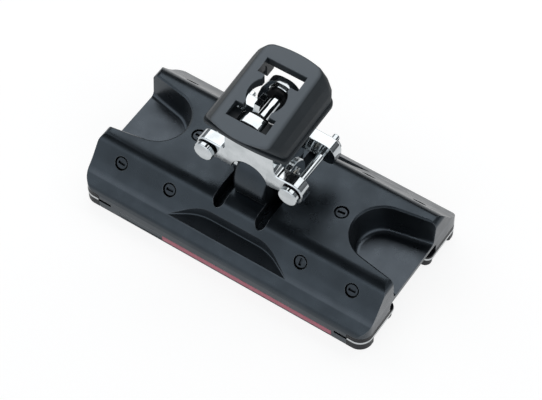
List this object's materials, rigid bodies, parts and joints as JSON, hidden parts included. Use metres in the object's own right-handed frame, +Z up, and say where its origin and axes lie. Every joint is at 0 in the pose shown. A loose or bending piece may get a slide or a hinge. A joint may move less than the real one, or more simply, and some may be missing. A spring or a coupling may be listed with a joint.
{
  "type": "mainsheet traveller car",
  "caption": "Ball-bearing track car with scooped ends, a swinging toggle held upright by a moulded boot, a mainsheet pin and control-line pins on each side.",
  "frame": {"origin": "centre of the car's footprint, on the plane its skids and end guides rest on", "axes": "+X along the track, +Y across it away from the striped skirt, +Z up towards the mainsheet pin"},
  "size_m": [0.2294, 0.1204, 0.138],
  "materials": {
    "anodised_black": "satin hard-anodised black",
    "polished_steel": "polished stainless",
    "band_steel": "bright rolled stainless",
    "screw_steel": "black oxide",
    "boot_plastic": "fine-grained black moulding",
    "guide_plastic": "smooth black moulding",
    "race_plastic": "machined bearing plastic",
    "ball_plastic": "ground bearing plastic",
    "stripe_red": "printed film"
  },
  "bodies": {
    "car": {"car_body": "anodised_black", "slope_screws_front": "screw_steel", "slope_screws_back": "screw_steel", "deck_screws": "screw_steel", "race_strip_front": "race_plastic", "race_strip_back": "race_plastic", "load_balls_front": "ball_plastic", "load_balls_back": "ball_plastic", "skid_front": "guide_plastic", "skid_back": "guide_plastic", "end_guide_front_left": "guide_plastic", "end_guide_front_right": "guide_plastic", "end_guide_back_left": "guide_plastic", "end_guide_back_right": "guide_plastic", "corner_band_front_left": "band_steel", "corner_band_front_right": "band_steel", "corner_band_back_left": "band_steel", "corner_band_back_right": "band_steel", "stripe": "stripe_red", "pivot_pin": "polished_steel", "pivot_clip": "band_steel"},
    "swinging_toggle": {"toggle": "polished_steel", "toggle_bush_left": "race_plastic", "toggle_bush_right": "race_plastic", "pin_washer_front": "guide_plastic", "pin_washer_back": "guide_plastic", "boot": "boot_plastic"},
    "left_control_pin": {"control_pin_left": "polished_steel", "control_ring_left": "band_steel"},
    "right_control_pin": {"control_pin_right": "polished_steel", "control_ring_right": "band_steel"},
    "mainsheet_pin_body": {"mainsheet_pin": "polished_steel", "mainsheet_clip": "band_steel"}
  },
  "joints": [
    {"name": "toggle_swing", "type": "hinge", "parent": "car", "child": "swinging_toggle", "pos_m": [0, 0, 0.056], "axis": [1, 0, 0], "range_deg": [-36, 36], "stiffness_Nm_per_rad": 1.5},
    {"name": "left_control_pin_turn", "type": "hinge", "parent": "swinging_toggle", "child": "left_control_pin", "pos_m": [-0.0331, 0, 0.0776], "axis": [0, 1, 0], "continuous": true},
    {"name": "right_control_pin_turn", "type": "hinge", "parent": "swinging_toggle", "child": "right_control_pin", "pos_m": [0.0331, 0, 0.0776], "axis": [0, 1, 0], "continuous": true},
    {"name": "mainsheet_pin_turn", "type": "hinge", "parent": "swinging_toggle", "child": "mainsheet_pin_body", "pos_m": [0, 0, 0.1155], "axis": [0, 1, 0], "continuous": true}
  ]
}
